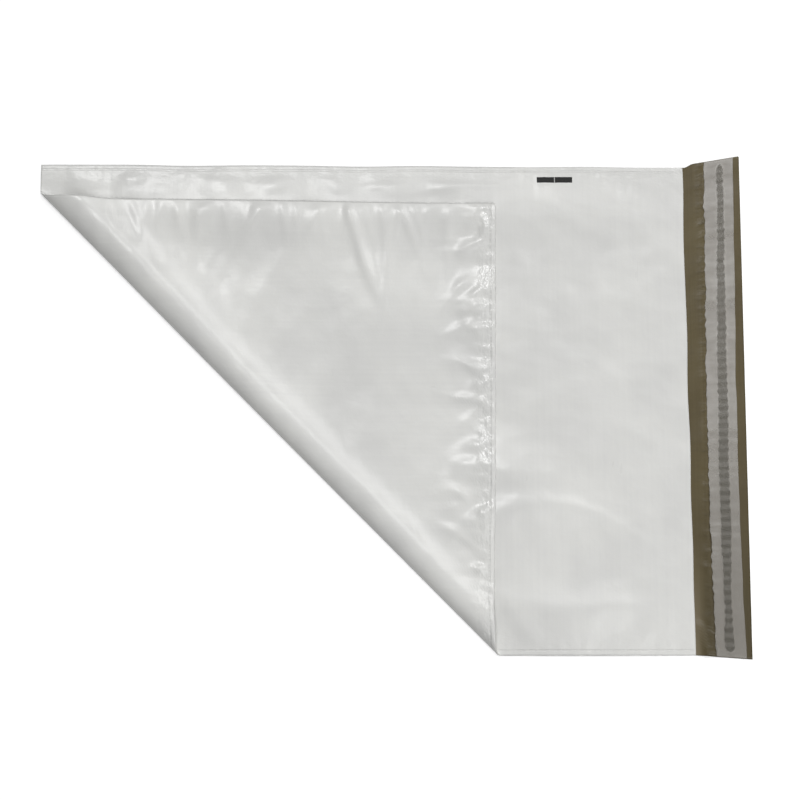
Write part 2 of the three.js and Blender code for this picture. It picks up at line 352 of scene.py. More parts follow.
def pillow(x, v):
    # lift of all that lies on the back panel, at its place as the bag lies: broad waves w as
    # (w + sqrt(w^2 + 0.02)) / 2, which stays above 0, then h exp(-p^2 - q^2) for each hump, p and q
    # being leant, h exp(-(p / l)^2) / cosh(q / w)^2 for each arc, q being slanted and bowed and w
    # its width on that side, and soft creases. All but the arcs are 0 at welded and folded edges
    sides = np.minimum(v, bag["width"] - v)
    narrow, wide = lie["sideSlope"]
    slope = narrow + (wide - narrow) * softStep(x, *lie["turnedEdge"])
    inside = softStep(sides, 0, slope) * softStep(x, 0, lie["endSlope"])
    inside = inside * softStep(mouthX - x, *lie["mouthSlope"])
    wave = 0.62 + 0.38 * ripples(x, v, **lie["pillowWaves"])
    lift = lie["pillow"] * inside * (wave + np.sqrt(wave * wave + 0.02)) / 2
    edge = softStep(sides, 0, 0.012) * softStep(x, 0, 0.02)
    for atX, atV, longX, longV, lean, height in lie["hills"]:
        p, q = (x - atX + lean * (v - atV)) / longX, (v - atV) / longV
        lift = lift + height * np.exp(-p * p - q * q) * edge
    for atX, atV, slant, bow, length, above, below, height in lie["arcs"]:
        away = v - atV + slant * (x - atX) + bow * (x - atX) ** 2
        q = away / np.where(away > 0, above, below)
        lift = lift + height * np.exp(-((x - atX) / length) ** 2) * crest(q)
    held = softStep(sides, 0, 0.006) * softStep(x, 0, 0.01)
    lift = lift + held * (creases(x, v, **lie["rightCreases"]) + creases(x, v, **lie["topCreases"]))
    _, s = foldPlaces(x, v)
    clear = np.interp(s, *np.transpose(lie["clear"]))
    return lift * softStep(-fromLiftOff(x, v), 0.004, clear) * softStep(flapEndX - x, 0.02, 0.06)


def frontSwell(x, v):
    # the front panel's own relief where nothing lies on it: fine waves, and puckers at both welds
    lying = (1 - isCovered(x, v)) * softStep(-fromLiftOff(x, v), 0, 0.03)
    inside = softStep(np.minimum(v, bag["width"] - v), 0.002, 0.02) * softStep(x, 0, 0.03)
    fine = inside * lie["fine"] * (1 + ripples(x, v, **lie["fineWaves"]))
    top = puckers(x, bag["width"] - v, **lie["topPuckers"])
    low = puckers(x, v, **lie["lowPuckers"])
    return lying * (np.clip(fine, 0, 1) + top + low)


def turnedSwell(x, v):
    # the turned corner's relief, on the back panel: broad waves and soft creases, 0 at both edges,
    # and puckers along the welded side and along the closed end, each row 0 at its own edge only
    inside = softStep(v, 0.002, 0.05) * softStep(x, 0.001, 0.05)
    broad = 0.5 + 0.5 * ripples(x, v, **lie["turnedWaves"])
    waves = inside * np.clip(broad, 0, 2) * lie["turned"]
    gathers = puckers(x, v, **lie["sidePuckers"]) + puckers(v, x, **lie["endPuckers"])
    held = softStep(v, 0, 0.006) * softStep(x, 0, 0.008)
    soft = creases(x, v, **lie["sideCreases"]) + creases(x, v, **lie["endCreases"])
    return isTurned(x, v) * (waves + gathers + held * soft)


def backMiddle(x, v):
    # height of the back panel's mid plane over the underside, before the corner is turned
    return bag["film"] / 2 + flapLift(x, v) - turnedSwell(x, v)


def frontMiddle(x, v):
    # and the front panel's
    return 1.5 * bag["film"] + bag["gap"] + frontSwell(x, v)


def turnedLoft(x, v):
    # how far the turned corner stands off the front panel, for both panels alike
    wave = 0.5 + 0.5 * ripples(x, v, **lie["loftWaves"])
    nearEdge = 0.3 + 0.7 * softStep(-np.minimum(x, v), -0.06, 0)
    return isTurned(x, v, 0.05, 0.12) * lie["loft"] * np.clip(wave, 0, 1) * nearEdge


# Meshes

def quadGrid(ids, flip=False):
    corners = [ids[:-1, :-1], ids[1:, :-1], ids[1:, 1:], ids[:-1, 1:]]
    if flip:
        corners.reverse()
    return np.stack(corners, -1).reshape(-1, 4)


def rimEdges(quads):
    # directed edges that no neighbouring face runs the other way
    edges = np.stack([quads, np.roll(quads, -1, 1)], -1).reshape(-1, 2)
    size = quads.max() + 1
    keys, backKeys = edges[:, 0] * size + edges[:, 1], edges[:, 1] * size + edges[:, 0]
    return edges[~np.isin(keys, backKeys)]


def closeSheet(outer, inner, quads):
    # two layers of one sheet, joined round their rim: points, faces and which layer a face is of
    count = len(outer)
    a, b = rimEdges(quads).T
    rim = np.stack([b, a, a + count, b + count], -1)
    faces = np.concatenate([quads, quads[:, [0, 3, 2, 1]] + count, rim])
    side = np.concatenate([np.zeros(len(quads)), np.ones(len(quads)), np.full(len(rim), 2)])
    return np.concatenate([outer, inner]), faces, side.astype(np.int32)


def makePiece(name, points, faces, finishes, side, sheetPlace):
    # side is 0 or 1 for a face of the outer or the inner layer, and 2 for the rim, which stays flat
    mesh = bpy.data.meshes.new(name)
    mesh.vertices.add(len(points))
    mesh.vertices.foreach_set("co", np.ascontiguousarray(points, np.float32).ravel())
    mesh.loops.add(faces.size)
    mesh.loops.foreach_set("vertex_index", np.ascontiguousarray(faces, np.int32).ravel())
    mesh.polygons.add(len(faces))
    mesh.polygons.foreach_set("loop_start", np.arange(0, faces.size, 4, dtype=np.int32))
    for finish in finishes:
        mesh.materials.append(finish)
    inner = (side == 1) & (len(finishes) > 1)
    mesh.polygons.foreach_set("material_index", inner.astype(np.int32))
    mesh.polygons.foreach_set("use_smooth", side < 2)
    mesh.update(calc_edges=True)
    mesh.validate()
    layer = mesh.uv_layers.new(name="sheetPlace")
    layer.uv.foreach_set("vector", sheetPlace[faces.ravel()].astype(np.float32).ravel())
    piece = bpy.data.objects.new(name, mesh)
    bpy.context.scene.collection.objects.link(piece)
    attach(piece, "root")
    print(f"{name}: {len(faces)} faces")
    return piece


# Shader nodes as arithmetic

class Wire:
    # a shader socket: each operator adds one Math node

    def __init__(self, finish, socket):
        self.finish = finish
        self.socket = socket

    def __add__(self, other):
        return self.finish.maths("ADD", self, other)

    def __radd__(self, other):
        return self.finish.maths("ADD", other, self)

    def __sub__(self, other):
        return self.finish.maths("SUBTRACT", self, other)

    def __rsub__(self, other):
        return self.finish.maths("SUBTRACT", other, self)

    def __mul__(self, other):
        return self.finish.maths("MULTIPLY", self, other)

    def __rmul__(self, other):
        return self.finish.maths("MULTIPLY", other, self)

    def __gt__(self, other):
        return self.finish.maths("GREATER_THAN", self, other)

    def __lt__(self, other):
        return self.finish.maths("LESS_THAN", self, other)

    def __abs__(self):
        return self.finish.maths("ABSOLUTE", self)


class Finish:
    # the nodes of a material or of the world

    def __init__(self, owner):
        self.owner = owner
        owner.use_nodes = True
        self.tree = owner.node_tree
        self.tree.nodes.clear()

    def node(self, kind, settings=None, values=None, out=0):
        made = self.tree.nodes.new("ShaderNode" + kind)
        for key, value in (settings or {}).items():
            setattr(made, key, value)
        for key, value in (values or {}).items():
            if isinstance(value, Wire):
                self.tree.links.new(value.socket, made.inputs[key])
            else:
                made.inputs[key].default_value = value
        return Wire(self, made.outputs[out]) if len(made.outputs) else made

    def maths(self, operation, first, second=0.0):
        return self.node("Math", {"operation": operation}, {0: first, 1: second})

    def sheetPlace(self):
        # along the film and across it, in metres, from the piece's own UV map
        return self.node("UVMap", {"uv_map": "sheetPlace"})

    def split(self, place, axis):
        return self.node("SeparateXYZ", {}, {0: place}, axis)

    def noise(self, place, stretch, detail=3.0, roughness=0.55):
        # stretch is the number of blotches to a metre along the film and across it
        scaled = self.node("VectorMath", {"operation": "MULTIPLY"}, {0: place, 1: (*stretch, 1)})
        values = {"Vector": scaled, "Scale": 1.0, "Detail": detail, "Roughness": roughness}
        return self.node("TexNoise", {}, values)

    def ramp(self, value, low, high):
        values = {0: value, 1: low, 2: high, 3: 0.0, 4: 1.0}
        return self.node("MapRange", {"clamp": True, "interpolation_type": "SMOOTHSTEP"}, values)

    def mix(self, factor, first, second):
        return self.node("Mix", {"data_type": "RGBA"}, {0: factor, 6: first, 7: second}, 2)

    def bump(self, height, strength):
        # height is in metres
        return self.node("Bump", {}, {"Height": height, "Distance": 1.0, "Strength": strength})

    def surface(self, values):
        shader = self.node("BsdfPrincipled", {}, values)
        self.node("OutputMaterial", {}, {"Surface": shader})
        return self.owner


def newFinish(name):
    return Finish(bpy.data.materials.new(name))


def paint(red, green, blue):
    # a colour as a screen gives it, 0 to 255, as the linear colour that a shader takes
    screen = np.array([red, green, blue]) / 255
    linear = np.where(screen <= 0.04045, screen / 12.92, ((screen + 0.055) / 1.055) ** 2.4)
    return (*(float(part) for part in linear), 1.0)


# Film finishes. Places along the film run from the lip over the front panel, round the closed end
# and along the back panel, so that the back panel's lip is at twice the bag's length.

outside = {
    "colour": paint(214, 214, 211),
    "shade": paint(204, 204, 202),
    "roughness": 0.31,
    "hazeRoughness": 0.16,  # what each of these changes in the roughness
    "streakRoughness": 0.04,
    "inkRoughness": 0.5,
    "gatherRoughness": 0.1,
    "gloss": 0.40,
    "relief": {"grain": 0.00004, "haze": 0.00045, "swell": 0.0032, "streak": 0.000015},
    "reliefStrength": 0.9,
    "crumple": 0.00010,
    "weldCrumple": 0.0014,  # along the welds the film is gathered
    "gathered": (0.020, 0.004),  # from and to this far in from the side edges
    "weldDepth": 0.00022,
    "weldInset": 0.003,
    "weldWidth": 0.0015,
    # the weld's own colour, also used for the painted shade line along the fold at the closed end
    "weldAndFoldShadeColour": paint(176, 176, 173),
    "foldShadeLine": (0.0004, 0.0011),  # half width of the painted shade line along the fold at the closed end, and where it is gone
    "markX": (0.3719, 0.3985),  # printed register mark near the upper side edge
    "markV": (0.3556, 0.3601),
    "markNotch": 0.0003,
    "markColour": paint(6, 6, 6),
}


def filmOutside():
    finish = newFinish("whiteFilm")
    place = finish.sheetPlace()
    along, across = finish.split(place, 0), finish.split(place, 1)
    cloud = finish.noise(place, (14, 14))
    streak = finish.noise(place, (420, 5), 4)
    grain = finish.noise(place, (240, 240), 4)
    haze = finish.noise(place, (44, 26))
    swell = finish.noise(place, (17, 21), 2)
    crumple = finish.noise(place, (130, 190), 3, 0.5)
    tone = finish.ramp(cloud * 0.8 + streak * 0.2, 0.3, 0.7)
    white = finish.mix(tone, outside["colour"], outside["shade"])

    middle = bag["width"] / 2
    offMiddle = abs(across - middle)
    weldWidth = outside["weldWidth"]
    weldAt = middle - outside["weldInset"] - weldWidth / 2
    onBag = along < 2 * bag["length"] + 0.002
    weld = 1 - finish.ramp(abs(offMiddle - weldAt), weldWidth * 0.3, weldWidth * 0.65)
    weld = weld * onBag
    beads = finish.ramp(finish.noise(place, (480, 40), 2), 0.38, 0.6)
    onBack = along > bag["length"]
    weldShade = weld * (0.06 + 0.34 * beads) * (0.35 + 0.65 * onBack)
    white = finish.mix(weldShade, white, outside["weldAndFoldShadeColour"])
    # painted shade: a darker line along the fold at the closed end, in the weld's colour
    foldShadeLine = 1 - finish.ramp(abs(along - bag["length"]), *outside["foldShadeLine"])
    white = finish.mix(foldShadeLine * 0.45, white, outside["weldAndFoldShadeColour"])

    markStart, markEnd = (bag["length"] - x for x in outside["markX"][::-1])
    low, high = outside["markV"]
    inMark = (along > markStart) * (along < markEnd) * (across > low) * (across < high)
    notch = abs(along - (markStart + markEnd) / 2) < outside["markNotch"]
    rubbed = finish.ramp(finish.noise(place, (900, 900)), 0.25, 0.5)
    ink = inMark * (1 - notch * 0.6) * (0.97 + 0.03 * rubbed)
    white = finish.mix(ink, white, outside["markColour"])

    gatherStart, gatherEnd = (middle - inset for inset in outside["gathered"])
    gathered = onBag * finish.ramp(offMiddle, gatherStart, gatherEnd)
    heights = outside["relief"]
    relief = (
        grain * heights["grain"]
        + haze * heights["haze"]
        + swell * heights["swell"]
        + streak * heights["streak"]
        + crumple * (outside["crumple"] + outside["weldCrumple"] * gathered * (0.35 + 0.50 * onBack))
        - weld * outside["weldDepth"]
    )
    rough = (
        outside["roughness"]
        + (haze - 0.5) * outside["hazeRoughness"]
        + (streak - 0.5) * outside["streakRoughness"]
        + inMark * outside["inkRoughness"]
        - gathered * onBack * outside["gatherRoughness"]
    )
    return finish.surface({
        "Base Color": white,
        "Roughness": rough,
        "Normal": finish.bump(relief, outside["reliefStrength"]),
        "Specular IOR Level": outside["gloss"],
    })


inside = {
    "colour": paint(86, 76, 49),
    "shade": paint(72, 62, 37),
    # painted shade, in the creases and away from the lip
    "paintedShadeColour": paint(58, 50, 27),
    "sheenColour": paint(128, 118, 98),  # painted sheen: a painted highlight at the lower end of the lip
    "sheenLength": 0.009,  # how far that reaches from the lip
    "sheenEnd": (0.012, 0.090),  # v over which it fades out
    "shadeStart": (0.002, 0.011),  # painted shade starts as far from the lip as this
    "shadeEnd": (0.02, 0.13),
    # painted shade, darker towards the lower end, fades out over this v
    "shadeLowEnd": (0.10, 0.26),
    "besideLiner": (0.008, 0.001),  # creases and their painted shade grow from and to this far off the liner's edge
    "crease": 0.0001,
    "linerCrease": 0.0006,
    "streak": 0.00002,
    "reliefStrength": 0.8,
    "roughness": 0.36,
    "cloudRoughness": 0.15,
    "gloss": 0.26,
}


def filmInside():
    finish = newFinish("brownFilm")
    place = finish.sheetPlace()
    along, across = finish.split(place, 0), finish.split(place, 1)
    cloud = finish.noise(place, (30, 14))
    streak = finish.noise(place, (600, 7), 4)
    crease = finish.noise(place, (80, 210), 3, 0.5)
    linerEdge = bag["length"] + seal["middle"] - liner["width"] / 2
    besideStart, besideEnd = (linerEdge - length for length in inside["besideLiner"])
    beside = finish.ramp(along, besideStart, besideEnd) * (along < linerEdge + 0.002)
    tone = finish.ramp(cloud * 0.7 + streak * 0.3, 0.3, 0.7)
    brown = finish.mix(tone, inside["colour"], inside["shade"])
    # painted shade in the creases, darker beside the liner
    lines = finish.ramp(crease, 0.52, 0.66)
    brown = finish.mix(lines * (0.12 + 0.4 * beside), brown, inside["paintedShadeColour"])
    fromLip = along - 2 * bag["length"]
    # painted sheen: lighter near the lower end of the lip
    sheen = 1 - finish.ramp(fromLip, 0, inside["sheenLength"])
    sheen = sheen * (1 - finish.ramp(across, *inside["sheenEnd"]))
    brown = finish.mix(sheen * (0.35 + 0.5 * cloud), brown, inside["sheenColour"])
    # painted shade: darker away from the lip and towards the lower end
    paintedShade = finish.ramp(fromLip, *inside["shadeStart"]) * (1 - finish.ramp(across, *inside["shadeEnd"]))
    paintedShade = paintedShade * 0.6 + (1 - finish.ramp(across, *inside["shadeLowEnd"])) * 0.2
    brown = finish.mix(paintedShade, brown, inside["paintedShadeColour"])
    relief = crease * (inside["crease"] + inside["linerCrease"] * beside) + streak * inside["streak"]
    return finish.surface({
        "Base Color": brown,
        "Roughness": inside["roughness"] + (cloud - 0.5) * inside["cloudRoughness"],
        "Normal": finish.bump(relief, inside["reliefStrength"]),
        "Specular IOR Level": inside["gloss"],
    })


# The bag's film: the front panel with the loop at the closed end, and the back panel with the flap

web = {
    "rowStep": 0.0016,  # between the mesh lines that run parallel to the turned fold
    "columns": 96,
    "edgeStep": 0.0020,  # spacing of the points next to an edge
    "cornerCut": 0.0005,
    "loopSteps": 6,
    "lipWave": 0.0004,
    "lipWaves": {"seed": 61, "count": 5, "lengths": (0.03, 0.12)},
    "lipSlant": 0.0020,  # the front panel is cut shorter at its upper side
    "lipReach": 0.03,
    "sideWave": 0.0003,
    "sideWaves": {"seed": 62, "count": 6, "lengths": (0.03, 0.15)},
}
startX = bag["film"] + bag["gap"] / 2
cornerRow = bag["width"] * inward[1]


def panelGrid(length):
    # row d runs parallel to the fold, and s = low + (high - low) b along it, where
    # b = (1 + tanh(k t) / tanh(k)) / 2 for t from -1 to 1, and k draws the points of a long row
    # towards its ends. Also gives the number of rows that reach the closed end.
    width, cut = bag["width"], web["cornerCut"]
    a, c = inward
    stops = [cut, cornerRow, length * a, length * a + cornerRow - cut]
    parts = [
        np.linspace(low, high, math.ceil((high - low) / web["rowStep"]), endpoint=False)
        for low, high in zip(stops[:-1], stops[1:])
    ]
    rows = np.concatenate(parts + [stops[-1:]])
    low = np.maximum(-rows * c / a, (rows * a - length) / c)
    high = np.minimum(rows * a / c, (width - rows * c) / a)
    table = np.linspace(4, 1e-3, 400)  # values of k, and the end spacing that each one gives
    ratio = web["edgeStep"] * web["columns"] / np.maximum(high - low, 1e-6)
    k = np.interp(ratio, 2 * table / np.sinh(2 * table), table)[:, None]
    t = np.linspace(-1, 1, web["columns"] + 1)[None, :]
    b = (1 + np.tanh(k * t) / np.tanh(k)) / 2
    s = low[:, None] + (high - low)[:, None] * b
    d = rows[:, None]
    x, v = np.clip(d * a - s * c, 0, length), np.clip(d * c + s * a, 0, width)
    return startX + x, v, len(parts[0]) + 1


def lipShape(x, v):
    # the lip is cut wavy and slanting: wave - slant v / width, which fades in before it
    wave = web["lipWave"] * wavesAlong(v, **web["lipWaves"])
    return (wave - web["lipSlant"] * v / bag["width"]) * softStep(x, mouthX - web["lipReach"], mouthX)


def layPanel(name, x, v, layers, webPlace, quads, isFront):
    # each layer is turned over at the corner, lifted by the loft and the pillow, and flared, and its
    # upper edge gets waves that fade inwards with (v / width)^8
    placed = []
    for layerX, layerZ in layers:
        newX, newV, newZ = turnCorner(layerX, v, layerZ)
        lifted = 1.0 if isFront else isTurned(x, v, 0.004, 0.020)
        newZ = newZ + turnedLoft(x, v) + pillow(newX, newV) * lifted
        if isFront:
            newX = newX + lipShape(x, v)
        upperEdge = web["sideWave"] * wavesAlong(x, **web["sideWaves"]) * (v / bag["width"]) ** 8
        placed.append(toFrame(newX, flared(x, newV) + upperEdge, newZ))
    points, faces, side = closeSheet(*placed, quads)
    sheetPlace = np.stack([webPlace, v], -1)
    panel = makePiece(name, points, faces, filmFinishes, side, np.concatenate([sheetPlace, sheetPlace]))
    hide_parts("bag_film")
    return panel


def makeFront():
    x, v, sharedRows = panelGrid(mouthX - startX)
    # the loop at the closed end: (x, z) = (x0 - r sin q, middle + r cos q) for q from 0 to pi
    endV = v[:sharedRows, -1:]
    endX = startX + 0 * endV
    top, bottom = frontMiddle(endX, endV), backMiddle(endX, endV)
    q = np.linspace(0, math.pi, web["loopSteps"] + 1)[None, 1:]
    ids = np.arange(x.size).reshape(x.shape)
    loopIds = x.size + np.arange(endV.size * q.size).reshape(endV.size, q.size)
    loop = np.concatenate([ids[:sharedRows, -1:], loopIds], 1)
    quads = np.concatenate([quadGrid(ids), quadGrid(loop)])
    layers = []
    for offset in (bag["film"] / 2, -bag["film"] / 2):
        radius = (top - bottom) / 2 + offset
        loopX, loopZ = startX - radius * np.sin(q), (top + bottom) / 2 + radius * np.cos(q)
        layers.append((
            np.concatenate([x.ravel(), loopX.ravel()]),
            np.concatenate([(frontMiddle(x, v) + offset).ravel(), loopZ.ravel()]),
        ))
    allX = np.concatenate([x.ravel(), np.full(loopIds.size, startX)])
    allV = np.concatenate([v.ravel(), (endV + 0 * q).ravel()])
    panel = layPanel("front_panel", allX, allV, layers, mouthX - allX, quads, True)


def makeBack():
    # the flat grid as it is, with its outer layer below
    x, v, _ = panelGrid(flapEndX - startX)
    quads = quadGrid(np.arange(x.size).reshape(x.shape), True)
    x, v = x.ravel(), v.ravel()
    layers = [(x, backMiddle(x, v) - offset) for offset in (bag["film"] / 2, -bag["film"] / 2)]
    panel = layPanel("back_panel", x, v, layers, mouthX + x, quads, False)


# Self-seal strip

seal = {
    "middle": 0.5075,  # of the adhesive and the liner, from the closed end
    "width": 0.0065,
    "height": 0.0004,
    "endGap": 0.004,
    "endRound": 0.0045,
    "seat": 0.00003,  # it lies just clear of the film
    "rows": 520,
    "sides": 20,
    "beads": (143, 62),  # beads to a metre at the lower end, and how their number rises upwards
    "beadSwell": 0.06,  # shares of the width
    "swell": 0.05,
    "swellWaves": {"seed": 71, "count": 9, "lengths": (0.004, 0.02)},
    "drift": 0.0003,
    "driftWaves": {"seed": 72, "count": 5, "lengths": (0.03, 0.11)},
    "fullness": 0.86,  # its mean height, as a share of that height
    "lumps": 0.12,
    "lumpWaves": {"seed": 73, "count": 12, "lengths": (0.0022, 0.006)},
    # width and place of the line along it: v, share of the width, offset
    "course": [
        (0.000, 1.00, 0.0004),
        (0.012, 1.10, 0.0002),
        (0.030, 0.80, 0.0),
        (0.060, 0.85, -0.0004),
        (0.085, 1.15, -0.0004),
        (0.140, 1.12, -0.0006),
        (0.200, 1.05, -0.0002),
        (0.280, 0.88, 0.0006),
        (0.330, 0.72, 0.0016),
        (0.368, 0.72, 0.0018),
    ],
    "colour": paint(84, 80, 70),
    "shade": paint(64, 60, 52),
    "relief": 0.0004,
    "reliefStrength": 0.7,
    "roughness": 0.38,
    "cloudRoughness": 0.2,
    "gloss": 0.5,
}


def flapTop(x, v):
    # height of the flap's upper face
    return backMiddle(x, v) + bag["film"] / 2


def beadPhase(v):
    # 2 pi (a v + b v^2), of a number or a shader socket
    atFoot, rise = seal["beads"]
    return 2 * math.pi * v * (atFoot + rise * v)


def sealWidth(v):
    # half width of the line: swells here and there and at each bead, and is round at both ends,
    # as sqrt(1 - (1 - e)^2) for the distance e from the end
    end = np.minimum(v - seal["endGap"], bag["width"] - seal["endGap"] - v)
    roundEnd = np.sqrt(np.clip(1 - (1 - np.clip(end / seal["endRound"], 0, 1)) ** 2, 0, 1))
    course = np.array(seal["course"])
    wave = np.interp(v, course[:, 0], course[:, 1]) + seal["beadSwell"] * np.cos(beadPhase(v))
    wave = wave + seal["swell"] * wavesAlong(v, **seal["swellWaves"])
    return seal["width"] / 2 * wave * roundEnd


def sealDrift(v):
    # how far the line's middle strays from a straight one
    course = np.array(seal["course"])
    wave = seal["drift"] * wavesAlong(v, **seal["driftWaves"])
    return np.interp(v, course[:, 0], course[:, 2]) + wave


def endFaces(ring):
    # the end of a tube: quads between the first half of a ring and the other half run backwards
    half = len(ring) // 2
    near, far = ring[:half], ring[:half - 1:-1]
    return np.stack([near[:-1], near[1:], far[1:], far[:-1]], -1)


def makeAdhesive():
    # a cross-section (w |cos q|^0.8 with its sign, h max(sin q, 0)^0.6) carried along the flap,
    # its height uneven and less where the line is narrow
    low, high = seal["endGap"] + 1e-5, bag["width"] - seal["endGap"] - 1e-5
    v = np.linspace(low, high, seal["rows"] + 1)[:, None]
    q = np.linspace(0, 2 * math.pi, seal["sides"] + 1)[None, :-1]
    half = np.maximum(sealWidth(v), 1e-5)
    x = seal["middle"] + sealDrift(v) + half * np.sign(np.cos(q)) * np.abs(np.cos(q)) ** 0.8
    v = v + 0 * q
    tall = seal["height"] * (seal["fullness"] + seal["lumps"] * wavesAlong(v, **seal["lumpWaves"]))
    tall = tall * np.clip(half / (seal["width"] / 2), 0.05, 1)
    z = flapTop(x, v) + seal["seat"] + tall * np.clip(np.sin(q), 0, 1) ** 0.6
    points = toFrame(x, flared(x, v), z).reshape(-1, 3)
    ids = np.arange(x.size).reshape(x.shape)
    body = quadGrid(np.concatenate([ids, ids[:, :1]], 1))
    faces = np.concatenate([body, endFaces(ids[0]), endFaces(ids[-1])[:, ::-1]])
    side = np.where(np.arange(len(faces)) < len(body), 0, 2)
    places = np.stack([x.ravel() - seal["middle"], v.ravel()], -1)
    piece = makePiece("adhesive_line", points, faces, [adhesiveFinish()], side, places)
    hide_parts("adhesive_strip")


def adhesiveFinish():
    finish = newFinish("adhesiveMelt")
    place = finish.sheetPlace()
    bands = finish.noise(place, (60, 190))
    cloud = finish.noise(place, (90, 40))
    tone = finish.ramp(bands * 0.6 + cloud * 0.4, 0.3, 0.7)
    return finish.surface({
        "Base Color": finish.mix(tone, seal["colour"], seal["shade"]),
        "Roughness": seal["roughness"] + (cloud - 0.5) * seal["cloudRoughness"],
        "Normal": finish.bump(bands * seal["relief"], seal["reliefStrength"]),
        "Specular IOR Level": seal["gloss"],
    })


liner = {
    "width": 0.022,
    "thickness": 0.00008,
    "clearance": 0.00014,  # over the film
    "sealHeight": 1.12,  # over the adhesive it rises by this share of the adhesive's height
    "rows": 520,
    "columns": 30,
    "endInset": 0.0004,  # it ends this far short of the side edges
    "shoulder": (-0.0003, 0.0016),  # it comes down beside the adhesive over this width
    "cockle": (0.00030, 0.00040),  # over the whole strip, and what its lower half has more
    "cockleLines": {
        "seed": 83, "count": 12, "lengths": (0.006, 0.011), "heading": math.pi / 2, "spread": 0.3,
    },
    "cockleWaves": {
        "seed": 84, "count": 8, "lengths": (0.02, 0.06), "heading": math.pi / 2, "spread": 0.5,
    },
    "raised": 0.0009,  # its inner edge stands up a little in the lower half
    "lowerHalf": (0.10, 0.24),  # v over which what the lower half has more fades out
    "innerWave": 0.0005,  # its edge towards the mouth is wavy and scalloped
    "innerWaves": {"seed": 81, "count": 7, "lengths": (0.018, 0.045)},
    "innerScallop": 0.0003,
    "innerScallops": {"seed": 85, "count": 5, "lengths": (0.0055, 0.0085)},
    "outerWave": 0.0002,
    "outerWaves": {"seed": 82, "count": 6, "lengths": (0.02, 0.10)},
    "course": [  # v and offset
        (0.000, 0.0012),
        (0.040, 0.0002),
        (0.100, -0.0010),
        (0.200, -0.0012),
        (0.280, 0.0),
        (0.368, 0.0008),
    ],
    "colour": paint(206, 203, 198),
    "shade": paint(180, 176, 170),
    "lowShadeColour": paint(158, 154, 147),  # painted shade, darker towards its lower end
    "wetColour": paint(131, 127, 118),  # where the adhesive touches it
    # painted shade where the adhesive touches it, darker towards the lower end
    "wetLowShadeColour": paint(95, 92, 83),
    "clear": 0.42,  # opacity of each of its two faces
    "wetClear": 0.22,
    "lines": 0.0005,  # heights of its relief
    "clouds": 0.0006,
    "reliefStrength": 0.8,
    "roughness": 0.34,
    "cloudRoughness": 0.2,
    "gloss": 0.45,
}


def linerMiddle(v):
    # x of the strip's middle line
    return seal["middle"] + np.interp(v, *np.transpose(liner["course"]))


def linerWave(v):
    # how far the inner edge strays from a straight one: waves and scallops
    wave = liner["innerWave"] * wavesAlong(v, **liner["innerWaves"])
    return wave + liner["innerScallop"] * wavesAlong(v, **liner["innerScallops"])


def makeLiner():
    # x = middle + a half width + wavy edges for a from -1 to 1 across the strip, and z = top of the
    # flap + the adhesive under it + cockles beside the adhesive + the raised inner edge
    low, high = liner["endInset"], bag["width"] - liner["endInset"]
    v = np.linspace(low, high, liner["rows"] + 1)[:, None]
    a = np.linspace(-1, 1, liner["columns"] + 1)[None, :]
    outer = liner["outerWave"] * wavesAlong(v, **liner["outerWaves"])
    x = linerMiddle(v) + a * liner["width"] / 2
    x = x + linerWave(v) * softStep(-a, -0.2, 1) + outer * softStep(a, 0, 1)
    fromLine = np.abs(x - seal["middle"] - sealDrift(v)) - sealWidth(v)
    over = (1 - softStep(fromLine, *liner["shoulder"])) * seal["height"] * liner["sealHeight"]
    lines = ripples(x * 0.4, v, **liner["cockleLines"])
    broad = ripples(x * 0.5, v, **liner["cockleWaves"])
    below = 1 - softStep(v, *liner["lowerHalf"])
    everywhere, more = liner["cockle"]
    cockles = (everywhere + more * below) * softStep(fromLine, 0, 0.003)
    cockles = cockles * np.clip(0.45 + 0.30 * lines + 0.35 * broad, 0, 2)
    raised = liner["raised"] * below * softStep(-a, 0.35, 1) * (0.75 + 0.25 * np.clip(broad, -1, 1))
    v = v + 0 * a
    z = flapTop(x, v) + liner["clearance"] + over + cockles + raised
    places = np.stack([fromLine.ravel(), v.ravel()], -1)
    upper, lower = (
        toFrame(x, flared(x, v), z + step).reshape(-1, 3) for step in (liner["thickness"], 0)
    )
    quads = quadGrid(np.arange(x.size).reshape(x.shape), True)
    points, faces, side = closeSheet(upper, lower, quads)
    finishes = [linerFinish()]
    piece = makePiece("liner_film", points, faces, finishes, side, np.concatenate([places, places]))
    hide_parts("release_liner")


